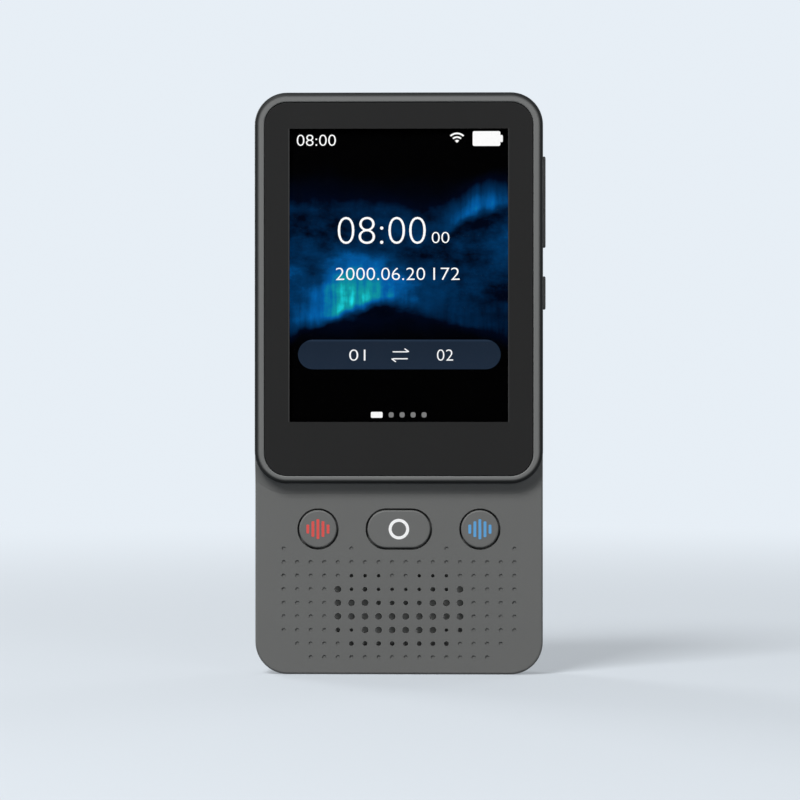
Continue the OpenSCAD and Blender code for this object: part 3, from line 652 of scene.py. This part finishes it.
def mark_front():
    """Y of the faces of the figures and marks."""
    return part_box("display_panel")[0].y - MARK_FORWARD


def plate(screen, centre, size, corner, turn=0.0):
    """A rounded plate in the layer of the marks, its place and sizes in millimetres."""
    place = on_screen(screen, *centre)
    return slab(place, mm(*size), mark_front(), MARK_THICK, corner * MM, turn)


def written(screen, text, corner, size, thin):
    """Plain figures in the layer of the marks, their lower left corner and size in millimetres."""
    place = on_screen(screen, *corner)
    return figures(text, place, mm(*size), mark_front(), MARK_THICK, thin)


def show(name, bm, material):
    """Turns a bmesh into a lit piece between the display panel and the touch sensor."""
    piece(name, bm, material, "casing")


# ---------------------------------------------------------------- operators


class TRANSLATOR_OT_casing(bpy.types.Operator):
    """Finish the housing, the rear cover, the ring round the glass and the keys"""

    bl_idname = "translator.casing"
    bl_label = "Casing"

    def execute(self, context):
        look = context.scene.translator_casing
        grain = look.grain / MM
        dress(
            moulded(
                "matte_casing", tuple(look.body_colour), 0.62, grain, 0.012,
                Specular_IOR_Level=0.2,
            ),
            *nodes_of("housing"),
        )
        key_finish = moulded(
            "matte_keys", tuple(look.key_colour), 0.6, 0.8 * grain, 0.009, Specular_IOR_Level=0.25
        )
        for slot in ("key", "red_key", "home_key", "blue_key"):
            dress(key_finish, *nodes_of(slot))
        self.finish_ring(look)
        return {"FINISHED"}

    def finish_ring(self, look):
        """Satin paint on the front of the ring, with painted shade that darkens it towards its rim
        and down its sides.
        """
        f = Finish("satin_ring")
        x, y, z = f.axes()
        low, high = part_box("screen_bezel")
        corner = look.corner / MM
        middle, reach = (low + high) / (2 * MM), (high - low) / (2 * MM)
        aside = f.at_least(abs(x - middle.x) - (reach.x - corner), 0.0)
        above = f.at_least(abs(z - middle.z) - (reach.z - corner), 0.0)
        from_rim = corner - (aside ** 2.0 + above ** 2.0) ** 0.5
        # The painted shade fades out between each two: millimetres in from the rim, and places along
        # Y
        shaded_rim, unshaded_from = 0.5, 1.15
        front, shaded_flank = low.y / MM + 0.1, low.y / MM + 0.2
        # Painted shade: 0 on the rim and the sides, which get the darker flank colour in place of
        # their shade, and 1 on the front
        unshaded = f.step(from_rim, shaded_rim, unshaded_from) * f.step(y, shaded_flank, front)
        fleck = f.noise(0.08, 2.0)
        broad = f.noise(9.0, 3.0)
        tone = 0.97 + 0.03 * fleck + 0.03 * broad
        colour = f.mix(unshaded, tuple(look.flank_shade_colour), tuple(look.ring_colour))
        dress(
            f.surface(
                f.shade(colour, tone), 0.5 - 0.1 * unshaded + 0.05 * broad, fleck, 0.003,
                Specular_IOR_Level=0.12,
            ),
            *nodes_of("bezel"),
        )


class TRANSLATOR_OT_glass(bpy.types.Operator):
    """Finish the cover glass with its printed border, and the clear layers behind it"""

    bl_idname = "translator.glass"
    bl_label = "Glass"

    def execute(self, context):
        screen = context.scene.translator_screen
        f = Finish("bordered_glass")
        x, y, z = f.axes()
        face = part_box("cover_glass")[0].y / MM
        half_width, half_height = screen.lit_width / 2 / MM, screen.lit_height / 2 / MM
        beside = abs(x) < half_width
        level = abs(z - screen.lit_centre / MM) < half_height
        window = beside * level
        smears = f.noise(14.0, 3.0, (1, 1, 2))
        # A paler line down each side of the window
        line_width = 0.22
        rim = abs(x) < half_width + line_width
        line = (rim - beside) * level
        # Everything but the front face, such as the pane's edges, is ground and dull, and its colour
        # is darkened as painted shade for the dark line round the glass
        ground_shaded_edge = f.step(y, face + 0.0005, face + 0.005)
        tone = (0.94 + 0.12 * smears + 0.9 * line) * (1 - 0.85 * ground_shaded_edge)
        border = f.shade(tuple(screen.border_colour), tone)
        dress(
            f.surface(
                f.mix(window, border, (0.0, 0.0, 0.0)), 0.03 + 0.04 * smears + 0.85 * ground_shaded_edge,
                Alpha=1 - 0.98 * window, Specular_IOR_Level=0.5,
            ),
            "cover_glass",
        )
        dress(polished("touch_sensor_film", (0.0, 0.0, 0.0), 0.01), "touch_sensor")
        dress(
            moulded("black_bonding_tape", SLOT_COLOUR["adhesive"], 0.6, 0.1, 0.01),
            "glass_adhesive",
        )
        return {"FINISHED"}


class TRANSLATOR_OT_backdrop(bpy.types.Operator):
    """Light the display panel with soft curtains of blue and cyan"""

    bl_idname = "translator.backdrop"
    bl_label = "Screen backdrop"

    def execute(self, context):
        screen = context.scene.translator_screen
        f = Finish("display_backdrop")
        x, y, z = f.axes()
        across = x / (screen.lit_width / 2 / MM)
        up = (z - screen.lit_centre / MM) / (screen.lit_height / 2 / MM)
        panel_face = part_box("display_panel")[0].y / MM
        shown = (abs(across) < 1) * (abs(up) < 1) * (y < panel_face + 0.02)
        drift = f.noise(11.0, 3.0) - 0.5
        curtains = f.noise(1.7, 3.0, (1, 1, 7))
        clouds = f.noise(9.0, 5.0, (1.6, 1, 1), 0.62)
        # Height above the foot of each curtain: across and up go from -1 to 1 over the lit area
        over_low = up + 0.3 + 0.16 * (across * 2.4 - 1.3).sine() - 0.35 * drift
        over_high = up - 0.38 + 0.10 * (across * 3.4 + 0.9).sine() + 0.3 * drift
        low_curtain = f.step(over_low, 0.36, 0.0) * f.step(over_low, -0.09, 0.02)
        high_curtain = f.step(over_high, 0.3, 0.0) * f.step(over_high, -0.06, 0.02)
        # Where each curtain is brightest
        low_bright = f.step(abs(across + 0.45), 0.75, 0.0)
        high_bright = f.step(abs(across - 0.75), 0.45, 0.0)
        haze = f.step(abs(up - 0.1), 0.62, 0.1) * clouds ** 2.0
        power = (
            1.2 * haze
            + low_curtain * (0.25 + 0.85 * curtains) * (0.2 + 0.8 * low_bright)
            + high_curtain * (0.2 + 0.9 * curtains) * (0.1 + 0.6 * high_bright)
        )
        haze_colour, glow_colour = tuple(screen.haze_colour), tuple(screen.glow_colour)
        tint = f.ramp(power, [
            (0.0, (0.0, 0.0, 0.0)),
            (0.14, (0.0, 0.0015, 0.008)),
            (0.36, tuple(0.3 * c for c in haze_colour)),
            (0.60, haze_colour),
            (0.82, tuple(0.42 * c for c in glow_colour)),
            (1.0, glow_colour),
        ])
        dress(
            f.surface(
                (0.0005, 0.0005, 0.0006), 0.5 + 0.1 * clouds, Emission_Color=f.shade(tint, shown),
                Emission_Strength=LAYER_STRENGTH, Specular_IOR_Level=0.0,
            ),
            "display_panel",
        )
        return {"FINISHED"}


class TRANSLATOR_OT_status_row(bpy.types.Operator):
    """Build the small time, the wireless mark and the battery mark"""

    bl_idname = "translator.status_row"
    bl_label = "Status row"

    def execute(self, context):
        screen = context.scene.translator_screen
        white = lit("lit_white", (1.0, 1.0, 1.0))
        small_time = written(screen, screen.hour_figures, (-21.4, 27.2), (8.2, 2.35), -0.011)
        show("status_time", small_time, white)
        foot, spread = on_screen(screen, 12.2, 27.78), math.radians(88)
        arcs = [
            arc_band(foot, *mm(inner, outer), mark_front(), MARK_THICK, spread, 20)
            for inner, outer in ((1.8, 2.16), (1.04, 1.38), (0.02, 0.64))
        ]
        show("wireless_mark", joined(arcs), white)
        cell = plate(screen, (18.38, 28.67), (5.8, 3.1), 0.35)
        cell_tip = plate(screen, (21.5, 28.67), (0.6, 1.5), 0.28)
        show("battery_mark", joined([cell, cell_tip]), white)
        return {"FINISHED"}


class TRANSLATOR_OT_clock(bpy.types.Operator):
    """Build the large figures of the clock and the date below them"""

    bl_idname = "translator.clock"
    bl_label = "Clock"

    def execute(self, context):
        screen = context.scene.translator_screen
        white = lit("lit_clock", (1.0, 1.0, 1.0))
        for name, text, corner, size, thin in (
            ("clock_hours", screen.hour_figures, (-12.8, 6.63), (18.45, 5.65), -0.02),
            ("clock_seconds", screen.second_figures, (6.9, 6.78), (3.7, 2.35), -0.012),
            ("clock_date", screen.date_figures, (-13.2, -0.95), (18.7, 2.6), -0.012),
            ("clock_day", screen.day_figures, (7.25, -0.95), (5.5, 2.6), -0.012),
        ):
            show(name, written(screen, text, corner, size, thin), white)
        return {"FINISHED"}


class TRANSLATOR_OT_talk_bar(bpy.types.Operator):
    """Build the rounded bar with its two choices and the swap mark between them"""

    bl_idname = "translator.talk_bar"
    bl_label = "Talk bar"

    def execute(self, context):
        screen = context.scene.translator_screen
        centre, size = on_screen(screen, 0.1, -16.56), mm(42.5, 6.2)
        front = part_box("display_panel")[0].y - BAR_FORWARD
        f = Finish("lit_bar")
        _, _, z = f.axes()
        rise = (z - centre[1] / MM) / (size[1] / 2 / MM)
        rim = f.step(rise, 0.8, 1.0)
        tone = 0.96 + 0.7 * rim - 0.08 * rise + 0.06 * f.noise(5.0, 1.0)
        bar_finish = f.surface(
            UNLIT, 0.6, Specular_IOR_Level=0.0, Emission_Strength=LAYER_STRENGTH,
            Emission_Color=f.shade(tuple(screen.bar_colour), tone),
        )
        show("talk_bar", slab(centre, size, front, BAR_THICK, size[1] / 2), bar_finish)
        white = lit("lit_choice", (0.93, 0.94, 0.96))
        width, height = 3.4, 2.35
        for name, text, middle in (
            ("first_choice", screen.first_choice, -8.7),
            ("second_choice", screen.second_choice, 9.7),
        ):
            corner = (middle - width / 2, -17.86)
            show(name, written(screen, text, corner, (width, height), -0.012), white)
        # Two opposite arrows, each a line and one stroke of its head
        swap_middle, line_thick, lean = 0.3, 0.24, math.radians(36)
        lines = []
        for side, level in ((1, -16.0), (-1, -17.45)):
            head = (swap_middle + 1.36 * side, level + 0.33 * side)
            lines.append(plate(screen, (swap_middle, level), (3.2, line_thick), line_thick / 2))
            lines.append(plate(screen, head, (1.15, line_thick), line_thick / 2, lean))
        show("swap_mark", joined(lines), white)
        return {"FINISHED"}


class TRANSLATOR_OT_page_marks(bpy.types.Operator):
    """Build the row of page marks at the foot of the screen"""

    bl_idname = "translator.page_marks"
    bl_label = "Page marks"

    def execute(self, context):
        screen = context.scene.translator_screen
        row, pitch = -29.21, 2.3
        here = plate(screen, (-4.63, row), (2.45, 1.25), 0.25)
        show("page_here", here, lit("lit_page", (0.93, 0.93, 0.93)))
        others = [
            plate(screen, (-1.6 + pitch * i, row), (1.05, 1.1), 0.4)
            for i in range(screen.page_count - 1)
        ]
        if others:
            show("page_others", joined(others), lit("lit_grey", (0.2, 0.2, 0.2)))
        return {"FINISHED"}


class TRANSLATOR_OT_key_marks(bpy.types.Operator):
    """Build the sound waves and the ring that are printed on the front keys"""

    bl_idname = "translator.key_marks"
    bl_label = "Key marks"

    def execute(self, context):
        look = context.scene.translator_casing
        bar_heights = (1.9, 3.3, 4.2, 3.3, 1.9)
        bar_corner, ink_thick, ring_stroke = mm(0.2, 0.06, 0.63)
        for key, colour in (
            ("left_key", look.left_mark_colour), ("right_key", look.right_mark_colour)
        ):
            (across, up), face = face_of(key)
            bars = [
                slab(
                    (across + (i - 2) * look.bar_pitch, up), (look.bar_width, tall * MM),
                    face - look.mark_proud, ink_thick, bar_corner,
                )
                for i, tall in enumerate(bar_heights)
            ]
            ink = moulded(key + "_ink", tuple(colour), 0.4, 0.1, 0.003, 0.05)
            piece(key + "_mark", joined(bars), ink, key)
        middle, face = face_of("home_key")
        outer = look.home_ring / 2
        piece(
            "home_key_mark",
            arc_band(middle, outer - ring_stroke, outer, face - look.mark_proud, ink_thick),
            moulded("home_key_ink", tuple(look.home_mark_colour), 0.4, 0.1, 0.003, 0.02),
            "home_key",
        )
        return {"FINISHED"}


class TRANSLATOR_OT_back_trim(bpy.types.Operator):
    """Finish the camera plate, its ring and windows, and the screws in the rear cover"""

    bl_idname = "translator.back_trim"
    bl_label = "Back trim"

    def execute(self, context):
        f = Finish("gloss_camera_plate")
        haze = f.noise(5.0, 4.0)
        dress(
            f.surface(
                f.shade(SLOT_COLOUR["black_trim"], 0.9 + 0.3 * haze), 0.1 + 0.08 * haze,
                haze, 0.004, Coat_Weight=0.5, Coat_Roughness=0.04,
            ),
            *nodes_of("black_trim"),
        )
        dress(
            polished("coated_lens", (0.02, 0.03, 0.06), 0.3, 0.02, (0.05, 0.02, 0.09)),
            "camera_window",
        )
        dress(polished("flash_diffuser", (0.85, 0.84, 0.78), 0.45, 0.16), "flash_lens")
        f = Finish("turned_ring")
        x, _, z = f.axes()
        (across, up), _ = face_of("camera_ring")
        away = (x - across / MM) ** 2.0 + (z - up / MM) ** 2.0
        groove_pitch = 0.09
        grooves = f.wave(away ** 0.5, groove_pitch)
        dress(
            f.surface(
                f.shade(SLOT_COLOUR["anodised"], 0.85 + 0.25 * grooves), 0.24 + 0.1 * grooves,
                grooves, 0.004, Metallic=1.0,
            ),
            "camera_ring",
        )
        dress(
            brushed("black_oxide_screws", SLOT_COLOUR["screw_steel"], 0.36, (1, 6, 1), 0.06),
            *nodes_of("screw_steel"),
        )
        return {"FINISHED"}


class TRANSLATOR_OT_inner_parts(bpy.types.Operator):
    """Finish everything inside the casing, each family in its own material"""

    bl_idname = "translator.inner_parts"
    bl_label = "Inner parts"

    def execute(self, context):
        colour = SLOT_COLOUR
        finishes = {
            "black_plastic": moulded("black_frames", colour["black_plastic"], 0.5, 0.12, 0.01),
            "white_plastic": moulded("white_plastic_parts", colour["white_plastic"], 0.4, 0.3, 0.004),
            "silicone": moulded("silicone_seal", colour["silicone"], 0.75, 0.2, 0.01, 0.06),
            "black_rubber": moulded("black_rubber_parts", colour["black_rubber"], 0.8, 0.1, 0.015),
            "white_foam": foam("foam_tape", colour["white_foam"]),
            "thermal_pad": foam("thermal_pad_gel", colour["thermal_pad"]),
            "sheet_steel": brushed("rolled_steel", colour["sheet_steel"], 0.3, (1, 1, 14)),
            "bright_screw": plated("bright_screws", colour["bright_screw"]),
            "nickel": plated("nickel_plate", colour["nickel"], 0.25),
            "cast_alloy": cast_metal("cast_frame", colour["cast_alloy"]),
            "battery_pouch": pouch_foil("battery_foil", colour["battery_pouch"]),
            "copper": wound_wire("voice_coil_wire", colour["copper"]),
            "gold_part": plated("gold_plate", colour["gold_part"], 0.2, 0.8),
            "circuit_board": circuit_board("solder_mask", colour["circuit_board"]),
            "chip": chip("chip_bodies", colour["chip"]),
            "flat_cable": flat_cable("polyimide_film", colour["flat_cable"]),
            "wire": moulded("wire_sleeve", colour["wire"], 0.45, 0.3, 0.01),
        }
        for slot, finish in finishes.items():
            dress(finish, *nodes_of(slot))
        dress(woven_mesh("dust_cloth", (0.48, 0.48, 0.475)), "grille_mesh")
        f = Finish("pressed_cone")
        fibres = f.noise(0.4, 4.0, (3, 1, 1))
        dress(
            f.surface(
                f.shade(colour["black_plastic"], 0.8 + 0.6 * fibres), 0.7, fibres, 0.03
            ),
            "speaker_cone",
        )
        return {"FINISHED"}


class TRANSLATOR_OT_studio(bpy.types.Operator):
    """Set the pale floor, the room, the soft lamps and the camera"""

    bl_idname = "translator.studio"
    bl_label = "Studio"

    def execute(self, context):
        studio = context.scene.translator_studio
        self.lay_floor(studio)
        self.light_room(context.scene, studio)
        # Degrees to the right of straight in front and above level, and share of the lamp power
        for name, turn, rise, share in (
            ("lamp_front_left", -30, 46, 1.0),
            ("lamp_front_right", 30, 14, 0.12),
            ("lamp_back_left", -140, 18, 0.45),
            ("lamp_back_right", 140, 18, 0.15),
        ):
            self.hang_lamp(
                name, math.radians(turn), math.radians(rise), share * studio.lamp_power
            )
        self.place_camera(context.scene, studio)
        return {"FINISHED"}

    def lay_floor(self, studio):
        """A wide disc just under the object, that fades into the room far away."""
        radius, gap = 5.0, 0.05 * MM
        bm = bmesh.new()
        bmesh.ops.create_circle(bm, cap_ends=True, radius=radius, segments=96)
        bmesh.ops.translate(bm, vec=(0, 0, -gap), verts=bm.verts)
        mesh = bpy.data.meshes.new("floor")
        bm.to_mesh(mesh)
        bm.free()
        floor = bpy.data.objects.new("floor", mesh)
        bpy.context.scene.collection.objects.link(floor)
        material = bpy.data.materials.new("pale_floor")
        tree = Tree(material)
        place = tree.node("TexCoord", output=3)
        away = tree.node("VectorMath", {"operation": "LENGTH"}, {0: place}, output=1)
        speckle = tree.node("TexNoise", values={"Vector": place, "Scale": 900.0, "Detail": 2.0})
        camera, seen = self.rays(tree)
        bounce = studio.floor_bounce + (1 - studio.floor_bounce) * seen
        colour = tree.shade(tuple(studio.floor_colour), (0.99 + 0.02 * speckle) * bounce)
        paper = tree.node("BsdfPrincipled", values={
            "Base Color": colour, "Roughness": 0.8, "Specular IOR Level": 0.2,
        })
        way = tree.node("VectorMath", {"operation": "NORMALIZE"}, {0: place})
        far = tree.node("Emission", values={
            "Color": self.room_look(tree, studio, way, camera), "Strength": 1.0,
        })
        mixed = tree.node("MixShader", values={
            0: (0.35 + 0.65 * tree.step(away, 0.12, 0.8)) * seen, 1: paper, 2: far,
        })
        tree.node("OutputMaterial", values={"Surface": mixed})
        mesh.materials.append(material)

    def rays(self, tree):
        """1 for rays from the camera, and 1 for all that show: straight on, mirrored or bent."""
        outputs = tree.node("LightPath").socket.node.outputs
        camera, glossy, through = (
            Wire(tree, outputs[name])
            for name in ("Is Camera Ray", "Is Glossy Ray", "Is Transmission Ray")
        )
        return camera, tree.at_least(tree.at_least(camera, glossy), through)

    def room_look(self, tree, studio, way, camera):
        """The pale room, which a mirror or glass sees as dim on the side in front of the object."""
        depth = Wire(tree, tree.node("SeparateXYZ", values={0: way}).socket.node.outputs[1])
        pale = tuple(studio.room_colour)
        mirrored = tree.mix(
            tree.step(depth, -0.995, -0.55), tuple(0.03 * c for c in pale), pale
        )
        return tree.mix(camera, mirrored, pale)

    def light_room(self, scene, studio):
        """Even light from all round, and the pale room for all rays that show it."""
        world = bpy.data.worlds.new("room")
        scene.world = world
        tree = Tree(world)
        camera, seen = self.rays(tree)
        shown = self.room_look(tree, studio, tree.node("TexCoord", output=0), camera)
        colour = tree.mix(seen, (studio.room_light,) * 3, shown)
        background = tree.node("Background", values={"Color": colour, "Strength": 1.0})
        tree.node("OutputWorld", values={"Surface": background})

    def hang_lamp(self, name, turn, rise, power):
        """A square soft lamp, turned and raised round the middle of the object."""
        side, distance = 0.45, 1.2
        middle = Vector((0, 0, 60 * MM))
        lamp = bpy.data.lights.new(name, "AREA")
        lamp.shape, lamp.size, lamp.energy = "SQUARE", side, power
        holder = bpy.data.objects.new(name, lamp)
        bpy.context.scene.collection.objects.link(holder)
        way = Vector(
            (math.sin(turn) * math.cos(rise), -math.cos(turn) * math.cos(rise), math.sin(rise))
        )
        holder.location = middle + distance * way
        holder.rotation_euler = (-way).to_track_quat("-Z", "Y").to_euler()
        holder.visible_camera = False

    def place_camera(self, scene, studio):
        """A long lens, level with the framed point."""
        sensor_width = 36
        data = bpy.data.cameras.new("camera")
        camera = bpy.data.objects.new("camera", data)
        scene.collection.objects.link(camera)
        turn, distance = studio.camera_turn, studio.camera_distance
        centre = Vector(studio.framed_centre)
        camera.location = centre + distance * Vector((math.sin(turn), -math.cos(turn), 0))
        camera.rotation_euler = (math.pi / 2, 0, turn)
        data.sensor_width = sensor_width
        data.lens = sensor_width * distance / studio.framed_width
        data.clip_start, data.clip_end = 0.01, 20
        scene.camera = camera


OPERATORS = (
    TRANSLATOR_OT_casing,
    TRANSLATOR_OT_glass,
    TRANSLATOR_OT_backdrop,
    TRANSLATOR_OT_status_row,
    TRANSLATOR_OT_clock,
    TRANSLATOR_OT_talk_bar,
    TRANSLATOR_OT_page_marks,
    TRANSLATOR_OT_key_marks,
    TRANSLATOR_OT_back_trim,
    TRANSLATOR_OT_inner_parts,
    TRANSLATOR_OT_studio,
)
SETTINGS = (
    ("translator_casing", CasingSettings),
    ("translator_screen", ScreenSettings),
    ("translator_studio", StudioSettings),
)


class TRANSLATOR_PT_panel(bpy.types.Panel):
    """Lists the translator's operators and settings"""

    bl_idname = "TRANSLATOR_PT_panel"
    bl_label = "Handheld translator"
    bl_space_type = "VIEW_3D"
    bl_region_type = "UI"
    bl_category = "Translator"

    def draw(self, context):
        for operator in OPERATORS:
            self.layout.operator(operator.bl_idname)
        for name, group in SETTINGS:
            box = self.layout.box()
            for field in group.__annotations__:
                box.prop(getattr(context.scene, name), field)


def register():
    for name, group in SETTINGS:
        bpy.utils.register_class(group)
        setattr(bpy.types.Scene, name, PointerProperty(type=group))
    for cls in (*OPERATORS, TRANSLATOR_PT_panel):
        bpy.utils.register_class(cls)


def unregister():
    for cls in (TRANSLATOR_PT_panel, *reversed(OPERATORS)):
        bpy.utils.unregister_class(cls)
    for name, group in reversed(SETTINGS):
        delattr(bpy.types.Scene, name)
        bpy.utils.unregister_class(group)


def main():
    """Runs every operator in order."""
    register()
    bpy.context.scene.view_settings.view_transform = "Standard"
    for operator in OPERATORS:
        group, _, name = operator.bl_idname.partition(".")
        getattr(getattr(bpy.ops, group), name)()


if __name__ == "__main__":
    main()
